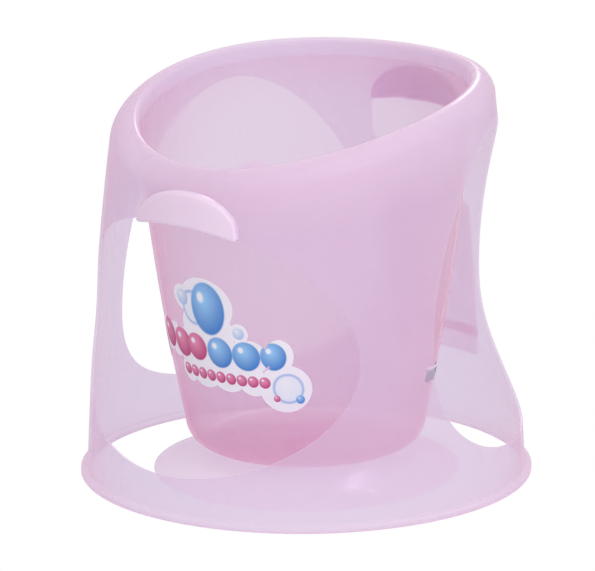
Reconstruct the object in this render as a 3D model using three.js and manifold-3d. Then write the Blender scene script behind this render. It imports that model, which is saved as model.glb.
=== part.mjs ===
// Baby bathtub: a deep tapered bucket hung inside a flared stand, on a wide suction cup.
// Millimetres, +Z up, base on Z = 0. The low side of the rim faces -Y, the high side +Y.
import * as THREE from 'three';
import { mergeVertices } from 'three/addons/utils/BufferGeometryUtils.js';
import { ParametricGeometry } from 'three/addons/geometries/ParametricGeometry.js';
import Module from 'manifold-3d';

// Overall sizes.
const BASE_RADIUS = 225;
const RIM_HEIGHT = 379;
const RIM_TILT = 32;
const RIM_SADDLE = 8;
const RIM_SHIFT = 3;
const WALL = 3;

// Radii follow the base and heights follow the rim, so that a bigger or taller tub keeps its shape.
const ROUND = BASE_RADIUS / 225;
const TALL = RIM_HEIGHT / 379;

// Stand: outer radii of the flared wall at the foot, at mid height and under the rim.
const FLANGE_WIDTH = 6.5;
const FLANGE_HEIGHT = 5.5;
const FOOT_FILLET = 4;
const WAIST_HEIGHT = 240 * TALL;
const WAIST_RADIUS = 202 * ROUND;
const SHOULDER_RADIUS = 186.5 * ROUND;
const SHOULDER_DROP = 22;

// Bucket: outer radii of the tapered wall, its floor and its rounded bottom corner.
const BUCKET_BASE_Z = 28;
const BUCKET_FLOOR = 4;
const BUCKET_CORNER = 28;
const BUCKET_FOOT_RADIUS = 120 * ROUND;
const BUCKET_MID_Z = 213 * TALL;
const BUCKET_MID_RADIUS = 148 * ROUND;
const BUCKET_TOP_RADIUS = 166 * ROUND;

// Rim roll and the lap joint where the bucket is welded up behind its inner lip.
const ROLL_INNER = 6;
const LIP_DEPTH = 17;
const LAP_DEPTH = 9;
const LAP_LIP = 1.4;
const LAP_TONGUE = 1.3;
const FIT_GAP = 0.3;

// Openings in the stand: angles from the low side, heights from the base.
const FRONT_WINDOW_Z = 161 * TALL;
const FRONT_WINDOW_RISE = 129 * TALL;
const FRONT_WINDOW_DROP = 119 * TALL;
const FRONT_WINDOW_HALF = 55;
const FRONT_WINDOW_POWER = 1.95;
const SIDE_WINDOW_ANGLE = 119.3;
const SIDE_WINDOW_Z = 160 * TALL;
const SIDE_WINDOW_RISE = 202 * TALL;
const SIDE_WINDOW_DROP = 115 * TALL;
const SIDE_WINDOW_HALF = 42.7;
const SLOT_HALF = 19.2;
const SLOT_LOW_Z = 292 * TALL;
const SLOT_HIGH_Z = 343.5 * TALL;
const SLOT_ARCH = 6;
const SLOT_CORNER = 16;

// Grips: half-moon trims that sit on the wall over the front window and over the slot,
// each with a short lip that turns in under the opening's edge.
const GRIP_REACH = 59;
const GRIP_HEIGHT = 40;
const GRIP_TIP = 3;
const GRIP_THICK = 8;
const GRIP_LIP = 1.6;
const GRIP_LIP_GAP = 0.9;
const FRONT_GRIP_ANGLE = 4.9;
const FRONT_GRIP_Z = 282 * TALL;
const FRONT_GRIP_LEAN = 1.5;
const REAR_GRIP_ANGLE = 182;
const REAR_GRIP_Z = 336.8 * TALL;

// Suction cup under the bucket, plugged into a socket ring.
const CUP_RADIUS = 152 * ROUND;
const CUP_THICK = 3.6;
const CUP_TOP_Z = 21;
const STUD_RADIUS = 18;
const SOCKET_GAP = 0.3;
const SOCKET_WALL = 4;

// Stickers and the instruction label.
const SKIN_GAP = 0.3;
const SKIN_THICK = 0.4;
const LABEL_HALF = 15;
const LABEL_LOW_Z = 80 * TALL;
const LABEL_HIGH_Z = 241 * TALL;
const SEAL_ANGLE = -121;
const SEAL_Z = 250 * TALL;
const SEAL_RADIUS = 29;
const STRIP_ANGLE = 121;
const STRIP_Z = 104 * TALL;
const STRIP_LENGTH = 70;
const STRIP_WIDTH = 15;
const STRIP_TILT = 0.15;

const RINGS = 48;
const DEG = Math.PI / 180;

const wasm = await Module();
wasm.setup();

// ---------------------------------------------------------------- helpers

function toManifold(geometry) {
  const g = geometry.clone();
  g.deleteAttribute('normal');
  g.deleteAttribute('uv');
  const merged = mergeVertices(g, 1e-4);
  const index = merged.index.array;
  const kept = [];
  for (let i = 0; i < index.length; i += 3) {
    const [a, b, c] = [index[i], index[i + 1], index[i + 2]];
    if (a !== b && b !== c && a !== c) {
      kept.push(a, b, c);
    }
  }
  const build = (list) => new wasm.Manifold(new wasm.Mesh({
    numProp: 3,
    vertProperties: new Float32Array(merged.attributes.position.array),
    triVerts: new Uint32Array(list),
  }));
  const solid = build(kept);
  if (solid.volume() > 0) {
    return solid;
  }
  const flipped = [];
  for (let i = 0; i < kept.length; i += 3) {
    flipped.push(kept[i], kept[i + 2], kept[i + 1]);
  }
  return build(flipped);
}

function toGeometry(solid) {
  const mesh = solid.getMesh();
  const g = new THREE.BufferGeometry();
  const positions = new Float32Array(mesh.numVert * 3);
  for (let i = 0; i < mesh.numVert; i += 1) {
    for (let k = 0; k < 3; k += 1) {
      positions[3 * i + k] = mesh.vertProperties[mesh.numProp * i + k];
    }
  }
  g.setAttribute('position', new THREE.BufferAttribute(positions, 3));
  g.setIndex(new THREE.BufferAttribute(new Uint32Array(mesh.triVerts), 1));
  return g;
}

function clamp01(t) {
  return Math.min(1, Math.max(0, t));
}

// Parabola through three (z, r) pairs.
function parabola(z, z0, r0, z1, r1, z2, r2) {
  const a = r0 * (z - z1) * (z - z2) / ((z0 - z1) * (z0 - z2));
  const b = r1 * (z - z0) * (z - z2) / ((z1 - z0) * (z1 - z2));
  const c = r2 * (z - z0) * (z - z1) / ((z2 - z0) * (z2 - z1));
  return a + b + c;
}

// Height of the rim's crest at an angle from the low side.
function rimHeight(angle) {
  return RIM_HEIGHT - RIM_TILT * Math.cos(angle) - RIM_SADDLE * Math.cos(2 * angle);
}

const FOOT_RADIUS = BASE_RADIUS - FLANGE_WIDTH;

// Outer radius of the stand's wall. The top drifts slightly towards the high side.
function standRadius(z, angle) {
  const r = parabola(z, 0, FOOT_RADIUS, WAIST_HEIGHT, WAIST_RADIUS, RIM_HEIGHT, SHOULDER_RADIUS);
  const drift = clamp01((z - WAIST_HEIGHT) / (RIM_HEIGHT - WAIST_HEIGHT));
  return r - RIM_SHIFT * drift * drift * Math.cos(angle);
}

// Outer radius of the bucket's wall above its rounded corner.
function bucketRadius(z) {
  const foot = BUCKET_BASE_Z + BUCKET_CORNER;
  const [mid, top] = [BUCKET_MID_RADIUS, BUCKET_TOP_RADIUS];
  return parabola(z, foot, BUCKET_FOOT_RADIUS, BUCKET_MID_Z, mid, RIM_HEIGHT, top);
}

// Closed shell turned about Z from a profile that changes with the angle.
function turned(profileAt, rings) {
  const profiles = [];
  for (let k = 0; k < rings; k += 1) {
    profiles.push(profileAt((2 * Math.PI * k) / rings));
  }
  const count = profiles[0].length;
  const place = (u, v, target) => {
    const k = Math.round(v * rings) % rings;
    const angle = (2 * Math.PI * k) / rings;
    const [r, z] = profiles[k][Math.round(u * count) % count];
    target.set(r * Math.sin(angle), -r * Math.cos(angle), z);
  };
  return new ParametricGeometry(place, count, rings);
}

// Curved slab: a box whose width runs round the axis, its height up Z and its depth outwards.
function curvedSlab(columns, rows, edgesAt, radiusAt) {
  const g = new THREE.BoxGeometry(1, 1, 1, columns, rows, 1);
  const p = g.attributes.position;
  for (let i = 0; i < p.count; i += 1) {
    const s = p.getX(i) + 0.5;
    const t = p.getY(i) + 0.5;
    const { angle, z } = edgesAt(s, t);
    const r = radiusAt(angle, z, p.getZ(i) + 0.5, s, t);
    p.setXYZ(i, r * Math.sin(angle), -r * Math.cos(angle), z);
  }
  return toManifold(g);
}

// Half-width of a rounded outline at height z, from its centre height, rise, drop and exponents.
function spread(z, centre, rise, drop, up, down) {
  const above = z >= centre;
  const n = above ? up : down;
  const t = clamp01(Math.abs(z - centre) / (above ? rise : drop));
  return Math.pow(1 - Math.pow(t, n), 1 / n);
}

// Height that spaces the rows closer together near the top and bottom of an outline.
function easedHeight(t, low, high) {
  return low + (high - low) * (0.5 - 0.5 * Math.cos(Math.PI * t));
}

function cutter(rows, low, high, leftAt, rightAt, innerRadius, outerRadius) {
  const edges = (s, t) => {
    const z = easedHeight(t, low, high);
    return { angle: leftAt(z) + (rightAt(z) - leftAt(z)) * s, z };
  };
  return curvedSlab(12, rows, edges, (angle, z, d) => innerRadius + (outerRadius - innerRadius) * d);
}

// ---------------------------------------------------------------- stand with the rolled rim

function standProfile(angle) {
  const crest = rimHeight(angle);
  const inner = (z) => bucketRadius(z) - WALL;
  const crestRadius = inner(crest) + ROLL_INNER;
  const shoulderZ = crest - SHOULDER_DROP;
  const shoulderR = standRadius(shoulderZ, angle);
  const points = [[FOOT_RADIUS - WALL, 0]];
  points.push([BASE_RADIUS - 1, 0], [BASE_RADIUS, 1]);
  points.push([BASE_RADIUS, FLANGE_HEIGHT - 1.2], [BASE_RADIUS - 1.2, FLANGE_HEIGHT]);
  const filletTop = FLANGE_HEIGHT + FOOT_FILLET;
  for (let k = 1; k <= 3; k += 1) {
    const a = (Math.PI / 2) * (k / 3);
    const r = standRadius(filletTop, angle) + FOOT_FILLET * (1 - Math.sin(a));
    points.push([r, filletTop - FOOT_FILLET * Math.cos(a)]);
  }
  const steps = 6;
  for (let k = 1; k <= steps; k += 1) {
    const z = filletTop + (shoulderZ - filletTop) * (k / steps);
    points.push([standRadius(z, angle), z]);
  }
  const arc = 4;
  for (let k = 1; k <= arc; k += 1) {
    const a = (Math.PI / 2) * (k / arc);
    const r = crestRadius + (shoulderR - crestRadius) * Math.cos(a);
    points.push([r, shoulderZ + SHOULDER_DROP * Math.sin(a)]);
  }
  for (let k = 1; k <= 3; k += 1) {
    const a = (Math.PI / 2) * (k / 3);
    const r = crestRadius - ROLL_INNER * Math.sin(a);
    points.push([r, crest - ROLL_INNER * (1 - Math.cos(a))]);
  }
  const lipZ = crest - LIP_DEPTH;
  const lapZ = lipZ + LAP_DEPTH;
  points.push([inner(lipZ), lipZ], [inner(lipZ) + LAP_LIP, lipZ]);
  points.push([inner(lapZ) + LAP_LIP, lapZ], [inner(lapZ) + WALL + 0.4, lapZ]);
  points.push([crestRadius + WALL - ROLL_INNER + 1, crest - 4.2]);
  for (let k = arc; k >= 0; k -= 1) {
    const a = (Math.PI / 2) * (k / arc);
    const r = crestRadius + (shoulderR - WALL - crestRadius) * Math.cos(a);
    points.push([r, shoulderZ + (SHOULDER_DROP - WALL) * Math.sin(a)]);
  }
  for (let k = steps - 1; k >= 1; k -= 1) {
    const z = shoulderZ * (k / steps);
    points.push([standRadius(z, angle) - WALL, z]);
  }
  return points;
}

function frontWindowTop(angle) {
  const s = clamp01(Math.abs(angle) / (FRONT_WINDOW_HALF * DEG));
  const n = FRONT_WINDOW_POWER;
  return FRONT_WINDOW_Z + FRONT_WINDOW_RISE * Math.pow(1 - Math.pow(s, n), 1 / n);
}

function frontWindow() {
  const half = (z) => FRONT_WINDOW_HALF * DEG
    * spread(z, FRONT_WINDOW_Z, FRONT_WINDOW_RISE, FRONT_WINDOW_DROP, FRONT_WINDOW_POWER, 1.9);
  const low = FRONT_WINDOW_Z - FRONT_WINDOW_DROP;
  const high = FRONT_WINDOW_Z + FRONT_WINDOW_RISE;
  return cutter(26, low, high, (z) => -half(z), half, 160 * ROUND, 260 * ROUND);
}

// The side plugs start between the bucket and the stand, clear of the rim's inner lip.
const SIDE_CUT_IN = 174 * ROUND;

function sideWindow(side) {
  const low = SIDE_WINDOW_Z - SIDE_WINDOW_DROP;
  const high = SIDE_WINDOW_Z + SIDE_WINDOW_RISE;
  const half = (z, down) => SIDE_WINDOW_HALF * DEG
    * spread(z, SIDE_WINDOW_Z, SIDE_WINDOW_RISE, SIDE_WINDOW_DROP, 1.85, down);
  const front = (z) => SIDE_WINDOW_ANGLE * DEG - half(z, 2.6);
  const back = (z) => SIDE_WINDOW_ANGLE * DEG + half(z, 2);
  if (side > 0) {
    return cutter(28, low, high, front, back, SIDE_CUT_IN, 260 * ROUND);
  }
  return cutter(28, low, high, (z) => -back(z), (z) => -front(z), SIDE_CUT_IN, 260 * ROUND);
}

// Top edge of the hand slot, a shallow arch.
function slotTop(angle) {
  const s = (angle - Math.PI) / (SLOT_HALF * DEG);
  return SLOT_HIGH_Z - SLOT_ARCH * s * s;
}

function handSlot() {
  const half = SLOT_HALF * DEG;
  const cornerShare = SLOT_CORNER / (half * SHOULDER_RADIUS);
  const low = (angle) => {
    const s = Math.abs(angle - Math.PI) / half;
    const into = clamp01((s - 1 + cornerShare) / cornerShare);
    return SLOT_LOW_Z + SLOT_CORNER * (1 - Math.sqrt(1 - into * into));
  };
  const edges = (s, t) => {
    const angle = Math.PI + Math.sin((s - 0.5) * Math.PI) * half;
    return { angle, z: low(angle) + (slotTop(angle) - low(angle)) * t };
  };
  return curvedSlab(24, 4, edges, (angle, z, d) => (172 + 68 * d) * ROUND);
}

function standBody() {
  let solid = toManifold(turned(standProfile, RINGS));
  for (const tool of [frontWindow(), sideWindow(1), sideWindow(-1), handSlot()]) {
    solid = solid.subtract(tool);
  }
  return solid;
}

// ---------------------------------------------------------------- bucket

function bucketProfile(angle) {
  const crest = rimHeight(angle);
  const lipZ = crest - LIP_DEPTH;
  const inner = (z) => bucketRadius(z) - WALL;
  const cornerZ = BUCKET_BASE_Z + BUCKET_CORNER;
  const flat = BUCKET_FOOT_RADIUS - BUCKET_CORNER;
  const socketIn = STUD_RADIUS + SOCKET_GAP;
  const socketOut = socketIn + SOCKET_WALL;
  const socketZ = CUP_TOP_Z + FIT_GAP;
  const points = [[0, BUCKET_BASE_Z], [socketIn, BUCKET_BASE_Z]];
  points.push([socketIn, socketZ], [socketOut, socketZ]);
  points.push([socketOut, BUCKET_BASE_Z], [flat * 0.6, BUCKET_BASE_Z]);
  const arc = 4;
  for (let k = 0; k <= arc; k += 1) {
    const a = (Math.PI / 2) * (k / arc);
    points.push([flat + BUCKET_CORNER * Math.sin(a), cornerZ - BUCKET_CORNER * Math.cos(a)]);
  }
  const steps = 5;
  const wallTop = lipZ - FIT_GAP;
  for (let k = 1; k <= steps; k += 1) {
    const z = cornerZ + (wallTop - cornerZ) * (k / steps);
    points.push([bucketRadius(z) + (k === steps ? FIT_GAP : 0), z]);
  }
  const tongueZ = lipZ + LAP_DEPTH - FIT_GAP;
  const tongueIn = LAP_LIP + FIT_GAP;
  points.push([inner(tongueZ) + tongueIn + LAP_TONGUE, tongueZ]);
  points.push([inner(tongueZ) + tongueIn, tongueZ]);
  points.push([inner(wallTop) + tongueIn, wallTop]);
  for (let k = steps; k >= 1; k -= 1) {
    const z = cornerZ + (wallTop - cornerZ) * (k / steps);
    points.push([inner(z), z]);
  }
  const floorZ = BUCKET_BASE_Z + BUCKET_FLOOR;
  const innerArc = cornerZ - floorZ;
  for (let k = arc; k >= 0; k -= 1) {
    const a = (Math.PI / 2) * (k / arc);
    const r = flat + (BUCKET_CORNER - WALL) * Math.sin(a);
    points.push([r, cornerZ - innerArc * Math.cos(a)]);
  }
  points.push([0, floorZ]);
  return points;
}

// ---------------------------------------------------------------- grips

// Half-moon pad on the outside of the wall, with a lip that turns in under the opening's edge.
function grip(centre, seatZ, lean, edgeZ) {
  const half = GRIP_REACH / standRadius(seatZ, centre);
  const across = (s) => Math.sin((s - 0.5) * Math.PI);
  const at = (x) => centre + x * half;
  const low = (x) => edgeZ(at(x)) - 1.6 + lean * x;
  const high = (x) => seatZ + GRIP_TIP
    + (GRIP_HEIGHT - GRIP_TIP) * Math.sqrt(1 - Math.pow(Math.abs(x), 2.1));
  const pillow = (x, t) => {
    const y = Math.abs(t - 0.5) * 2;
    const edge = Math.pow(Math.pow(Math.abs(x), 8) + Math.pow(y, 6), 1 / 6);
    return 1 - 0.45 * Math.pow(Math.min(1, edge), 3);
  };
  const pad = curvedSlab(20, 6,
    (s, t) => ({ angle: at(across(s)), z: low(across(s)) + (high(across(s)) - low(across(s))) * t }),
    (angle, z, d, s, t) => standRadius(z, angle) + FIT_GAP + GRIP_THICK * pillow(across(s), t) * d);
  const lipX = (s) => -0.75 + 1.05 * s;
  const lip = curvedSlab(12, 1,
    (s, t) => ({ angle: at(lipX(s)), z: edgeZ(at(lipX(s))) - GRIP_LIP_GAP - GRIP_LIP * (1 - t) }),
    (angle, z, d) => standRadius(z, angle) - WALL - 1 + (WALL + 3) * d);
  return pad.add(lip);
}

// ---------------------------------------------------------------- suction cup

function cupProfile() {
  const lip = 0.3;
  const rise = (r) => {
    const t = clamp01((r - STUD_RADIUS) / (CUP_RADIUS - STUD_RADIUS));
    return CUP_TOP_Z - (CUP_TOP_Z - CUP_THICK) * Math.pow(t, 2.4);
  };
  const points = [[0, BUCKET_BASE_Z - FIT_GAP], [STUD_RADIUS - 1, BUCKET_BASE_Z - FIT_GAP]];
  points.push([STUD_RADIUS, BUCKET_BASE_Z - FIT_GAP - 1], [STUD_RADIUS, CUP_TOP_Z]);
  const steps = 6;
  for (let k = 1; k <= steps; k += 1) {
    const r = STUD_RADIUS + (CUP_RADIUS - 1.2 - STUD_RADIUS) * (k / steps);
    points.push([r, rise(r)]);
  }
  points.push([CUP_RADIUS, CUP_THICK - 1.2], [CUP_RADIUS, lip + 0.8], [CUP_RADIUS - 0.8, lip]);
  points.push([CUP_RADIUS - 7, lip]);
  for (let k = steps - 1; k >= 1; k -= 1) {
    const r = STUD_RADIUS + (CUP_RADIUS - 1.2 - STUD_RADIUS) * (k / steps);
    points.push([r, rise(r) - CUP_THICK]);
  }
  points.push([0, CUP_TOP_Z - CUP_THICK]);
  return points;
}

// ---------------------------------------------------------------- stickers and label

// Rounded patch outline swept outwards, to cut a skin to shape.
function patch(angle, z, halfAngle, halfHeight, power) {
  const half = (h) => halfAngle * DEG * spread(h, z, halfHeight, halfHeight, power, power);
  const left = (h) => angle * DEG - half(h);
  const right = (h) => angle * DEG + half(h);
  return cutter(16, z - halfHeight, z + halfHeight, left, right, 80 * ROUND, 190 * ROUND);
}

// Thin skin that follows the bucket's wall between two heights.
function bucketSkin(low, high) {
  const rows = 4;
  const profile = () => {
    const points = [];
    for (let k = 0; k <= rows; k += 1) {
      const z = low + (high - low) * (k / rows);
      points.push([bucketRadius(z) + SKIN_GAP + SKIN_THICK, z]);
    }
    for (let k = rows; k >= 0; k -= 1) {
      const z = low + (high - low) * (k / rows);
      points.push([bucketRadius(z) + SKIN_GAP, z]);
    }
    return points;
  };
  return toManifold(turned(profile, RINGS));
}

// Die-cut sticker: a row of print with a tall lobe on top and a round lobe at its low end.
function dieCutSticker() {
  const lobes = [
    patch(-2, 188 * TALL, 14.5, 35, 2.4),
    patch(6, 149.5 * TALL, 29.7, 19, 4),
    patch(-39.5, 143 * TALL, 20, 19, 3),
    patch(2, 124 * TALL, 24, 15, 4),
    patch(32, 118 * TALL, 11.2, 25, 2),
  ];
  const outline = lobes.reduce((sum, lobe) => sum.add(lobe));
  return bucketSkin(80 * TALL, 236 * TALL).intersect(outline);
}

function roundSeal() {
  const half = SEAL_RADIUS / bucketRadius(SEAL_Z) / DEG;
  const outline = patch(SEAL_ANGLE, SEAL_Z, half, SEAL_RADIUS, 2);
  return bucketSkin(SEAL_Z - SEAL_RADIUS - 5, SEAL_Z + SEAL_RADIUS + 5).intersect(outline);
}

function sideStrip() {
  const half = STRIP_LENGTH / 2 / bucketRadius(STRIP_Z);
  const centre = (s) => STRIP_Z - STRIP_TILT * STRIP_LENGTH * (s - 0.5);
  return curvedSlab(10, 2,
    (s, t) => ({ angle: STRIP_ANGLE * DEG + (s - 0.5) * 2 * half, z: centre(s) + STRIP_WIDTH * (t - 0.5) }),
    (angle, z, d) => bucketRadius(z) + SKIN_GAP + SKIN_THICK * d);
}

function instructionLabel() {
  const angle = (s) => Math.PI + (s - 0.5) * 2 * LABEL_HALF * DEG;
  const height = (t) => LABEL_LOW_Z + (LABEL_HIGH_Z - LABEL_LOW_Z) * t;
  return curvedSlab(10, 8,
    (s, t) => ({ angle: angle(s), z: height(t) }),
    (a, z, d) => standRadius(z, a) + SKIN_GAP + SKIN_THICK * d);
}

// ---------------------------------------------------------------- assembly

const tub = new THREE.Group();
tub.name = 'baby_bathtub';

function addPiece(name, solid, look) {
  const material = new THREE.MeshStandardMaterial({ metalness: 0, ...look });
  const mesh = new THREE.Mesh(toGeometry(solid), material);
  mesh.name = name;
  tub.add(mesh);
}

const CLEAR_PINK = { color: 0xe2bfdd, roughness: 0.25 };
const PALE_PINK = { color: 0xecd6e8, roughness: 0.35 };
const WHITE = { color: 0xf4f2f6, roughness: 0.45 };

addPiece('stand', standBody(), CLEAR_PINK);
addPiece('bucket', toManifold(turned(bucketProfile, RINGS)), { ...CLEAR_PINK, color: 0xdfb6d8 });
const frontGrip = grip(FRONT_GRIP_ANGLE * DEG, FRONT_GRIP_Z, FRONT_GRIP_LEAN, frontWindowTop);
const rearGrip = grip(REAR_GRIP_ANGLE * DEG, REAR_GRIP_Z, 0, slotTop);
addPiece('front_grip', frontGrip, PALE_PINK);
addPiece('rear_grip', rearGrip, PALE_PINK);
addPiece('suction_cup', toManifold(turned(cupProfile, RINGS)), { color: 0xe6c4dd, roughness: 0.15 });
addPiece('front_sticker', dieCutSticker(), WHITE);
addPiece('side_strip_sticker', sideStrip(), WHITE);
addPiece('side_seal_sticker', roundSeal(), WHITE);
addPiece('instruction_label', instructionLabel(), { color: 0xead0e4, roughness: 0.5 });

export default tub;
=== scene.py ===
# %% [markdown]
# # A clear pink baby bathtub
# The tub is a deep bucket that hangs inside a flared stand. Both are thin walls of clear pink
# plastic, and most of what the eye sees is light that has gone through two or four of them.
# So this lesson spends its effort on three things: walls that are true closed shells with a real
# thickness, openings whose edges are rounded, and a plastic that is partly clear and partly milky.

# %% Load the frame
import math

import bmesh
import bpy
from mathutils import Matrix, Vector


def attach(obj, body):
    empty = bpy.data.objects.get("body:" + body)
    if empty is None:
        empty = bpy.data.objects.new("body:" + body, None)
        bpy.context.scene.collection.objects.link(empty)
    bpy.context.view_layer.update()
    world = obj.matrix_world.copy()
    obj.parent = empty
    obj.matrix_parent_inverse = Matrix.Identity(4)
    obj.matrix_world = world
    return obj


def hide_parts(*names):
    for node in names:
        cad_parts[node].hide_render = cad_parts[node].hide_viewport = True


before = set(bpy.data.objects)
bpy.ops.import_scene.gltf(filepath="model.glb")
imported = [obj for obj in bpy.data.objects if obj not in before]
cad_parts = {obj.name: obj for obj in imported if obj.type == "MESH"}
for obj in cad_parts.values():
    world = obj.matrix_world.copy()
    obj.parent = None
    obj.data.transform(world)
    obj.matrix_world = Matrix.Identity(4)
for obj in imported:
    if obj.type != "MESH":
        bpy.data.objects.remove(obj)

scene = bpy.context.scene
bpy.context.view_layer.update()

# %% [markdown]
# ## Sizes
# Every size is the real one in metres, so a new piece lands on the solid that it stands for.
# Angles are measured round Z from the low side of the rim, which faces -Y.

# %% Sizes of the tub
mm = 0.001
DEG = math.pi / 180
BASE_RADIUS = 225 * mm
RIM_HEIGHT = 379 * mm
RIM_TILT = 32 * mm
RIM_SADDLE = 8 * mm
RIM_SHIFT = 3 * mm
WALL = 3 * mm
FLANGE_HEIGHT = 5.5 * mm
FOOT_FILLET = 4 * mm
FOOT_RADIUS = BASE_RADIUS - 6.5 * mm
WAIST_HEIGHT = 240 * mm
WAIST_RADIUS = 202 * mm
SHOULDER_RADIUS = 186.5 * mm
SHOULDER_DROP = 22 * mm
ROLL_INNER = 6 * mm
LIP_DEPTH = 17 * mm
WELD_GAP = 0.04 * mm
BUCKET_BASE = 28 * mm
BUCKET_FLOOR = 4 * mm
BUCKET_CORNER = 28 * mm
BUCKET_FOOT_RADIUS = 120 * mm
RINGS = 240


# %% The walls' curves
def three_point_curve(z, low, middle, high):
    """Height to radius, on the parabola through three (height, radius) points."""
    total = 0.0
    points = (low, middle, high)
    for one in points:
        share = one[1]
        for other in points:
            if other is not one:
                share *= (z - other[0]) / (one[0] - other[0])
        total += share
    return total


def rim_height(angle):
    """The rim's crest: low in front, high behind, and a little saddle-shaped."""
    return RIM_HEIGHT - RIM_TILT * math.cos(angle) - RIM_SADDLE * math.cos(2 * angle)


def stand_radius(z, angle):
    """Outside of the stand's flared wall."""
    r = three_point_curve(
        z, (0, FOOT_RADIUS), (WAIST_HEIGHT, WAIST_RADIUS), (RIM_HEIGHT, SHOULDER_RADIUS))
    drift = min(1, max(0, (z - WAIST_HEIGHT) / (RIM_HEIGHT - WAIST_HEIGHT)))
    return r - RIM_SHIFT * drift * drift * math.cos(angle)


def bucket_radius(z):
    """Outside of the bucket's tapered wall."""
    return three_point_curve(
        z,
        (BUCKET_BASE + BUCKET_CORNER, BUCKET_FOOT_RADIUS),
        (213 * mm, 148 * mm),
        (RIM_HEIGHT, 166 * mm),
    )


def on_tub(r, angle, z):
    """The point at a radius, an angle from the low side and a height."""
    return Vector((r * math.sin(angle), -r * math.cos(angle), z))


def angle_of(point):
    """Angle of a point from the low side."""
    return math.atan2(point.x, -point.y)


print("rim from", round(rim_height(0), 3), "to", round(rim_height(math.pi), 3))

# %% [markdown]
# ## Camera, floor and light
# The tub is seen from a little above, with a long lens, over a white floor. The floor and the sky
# are so bright that they turn pure white, as on a white studio sweep. One broad soft box above and
# one at the side light the tub, and a narrow one behind only draws glints on the shiny parts.

# %% Camera
VIEW_ANGLE = 40.39 * DEG
VIEW_RISE = 14.676 * DEG
VIEW_DISTANCE = 4.7175
VIEW_ROLL = -0.449 * DEG
AIM = Vector((0, 0, 0.18))

camera_data = bpy.data.cameras.new("studio_camera")
camera_data.sensor_width = 36
camera_data.lens = 288.08
camera_data.shift_x = -0.01244
camera_data.shift_y = 0.01143
camera_data.clip_end = 100
camera = bpy.data.objects.new("studio_camera", camera_data)
scene.collection.objects.link(camera)
towards_camera = on_tub(math.cos(VIEW_RISE), VIEW_ANGLE, math.sin(VIEW_RISE))
camera.location = AIM + towards_camera * VIEW_DISTANCE
turn = (-towards_camera).to_track_quat("-Z", "Y").to_matrix().to_4x4()
camera.matrix_world = Matrix.Translation(camera.location) @ turn @ Matrix.Rotation(
    VIEW_ROLL, 4, "Z")
scene.camera = camera
scene.view_settings.view_transform = "Standard"
scene.cycles.transparent_max_bounces = 40
scene.cycles.max_bounces = 16
print("camera at", [round(v, 3) for v in camera.location])

# %% Floor
FLOOR_DROP = 0.6 * mm

floor_mesh = bpy.data.meshes.new("floor")
bm = bmesh.new()
bmesh.ops.create_grid(bm, x_segments=1, y_segments=1, size=9)
bmesh.ops.translate(bm, verts=bm.verts, vec=(0, 0, -FLOOR_DROP))
bm.to_mesh(floor_mesh)
bm.free()
floor = bpy.data.objects.new("floor", floor_mesh)
scene.collection.objects.link(floor)
print("floor lies", round(FLOOR_DROP / mm, 2), "mm below the base")

# %% [markdown]
# The lens sees the bare floor and sky as pure white. Seen through a clear wall they are greyer and
# bluer, as if the white behind the tub had been cut out afterwards. This belongs to the stage and
# not to the plastic: on another stage the same walls look paler and warmer.

# %% What shows behind a clear wall
SKY_LIGHT = 0.76
FLOOR_GREY = (0.80, 0.76, 0.86, 1)
SKY_GREY = (0.38, 0.55, 0.77, 1)


def seen_colour(tree, grey):
    """White where nothing stands in front, the given grey behind a clear wall."""
    path = tree.nodes.new("ShaderNodeLightPath")
    shade = tree.nodes.new("ShaderNodeMix")
    shade.data_type = "RGBA"
    shade.inputs[6].default_value = (1, 1, 1, 1)
    shade.inputs[7].default_value = grey
    tree.links.new(path.outputs["Transparent Depth"], shade.inputs[0])
    return shade.outputs[2], path.outputs["Is Camera Ray"]


floor_paint = bpy.data.materials.new("floor_paint")
floor_paint.use_nodes = True
tree = floor_paint.node_tree
matt = tree.nodes["Principled BSDF"]
matt.inputs["Base Color"].default_value = (0.85, 0.84, 0.86, 1)
matt.inputs["Roughness"].default_value = 0.9
matt.inputs["Specular IOR Level"].default_value = 0.1
colour, to_lens = seen_colour(tree, FLOOR_GREY)
white = tree.nodes.new("ShaderNodeEmission")
choice = tree.nodes.new("ShaderNodeMixShader")
tree.links.new(colour, white.inputs["Color"])
tree.links.new(to_lens, choice.inputs[0])
tree.links.new(matt.outputs[0], choice.inputs[1])
tree.links.new(white.outputs[0], choice.inputs[2])
tree.links.new(choice.outputs[0], tree.nodes["Material Output"].inputs["Surface"])
floor_mesh.materials.append(floor_paint)

sky = bpy.data.worlds.new("studio_sky")
sky.use_nodes = True
tree = sky.node_tree
colour, to_lens = seen_colour(tree, SKY_GREY)
shade = tree.nodes.new("ShaderNodeMix")
shade.data_type = "RGBA"
shade.inputs[6].default_value = (SKY_LIGHT, SKY_LIGHT, SKY_LIGHT, 1)
tree.links.new(to_lens, shade.inputs[0])
tree.links.new(colour, shade.inputs[7])
tree.links.new(shade.outputs[2], tree.nodes["Background"].inputs["Color"])
scene.world = sky
print("sky light:", SKY_LIGHT)


# %% Soft boxes
def soft_box(name, angle, rise, distance, width, height, watts):
    """A rectangular lamp that faces the middle of the tub."""
    lamp = bpy.data.lights.new(name, "AREA")
    lamp.shape = "RECTANGLE"
    lamp.size = width
    lamp.size_y = height
    lamp.energy = watts
    box = bpy.data.objects.new(name, lamp)
    scene.collection.objects.link(box)
    away = on_tub(math.cos(rise * DEG), angle * DEG, math.sin(rise * DEG))
    facing = (-away).to_track_quat("-Z", "Y").to_matrix().to_4x4()
    box.matrix_world = Matrix.Translation(AIM + away * distance) @ facing
    return box


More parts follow.
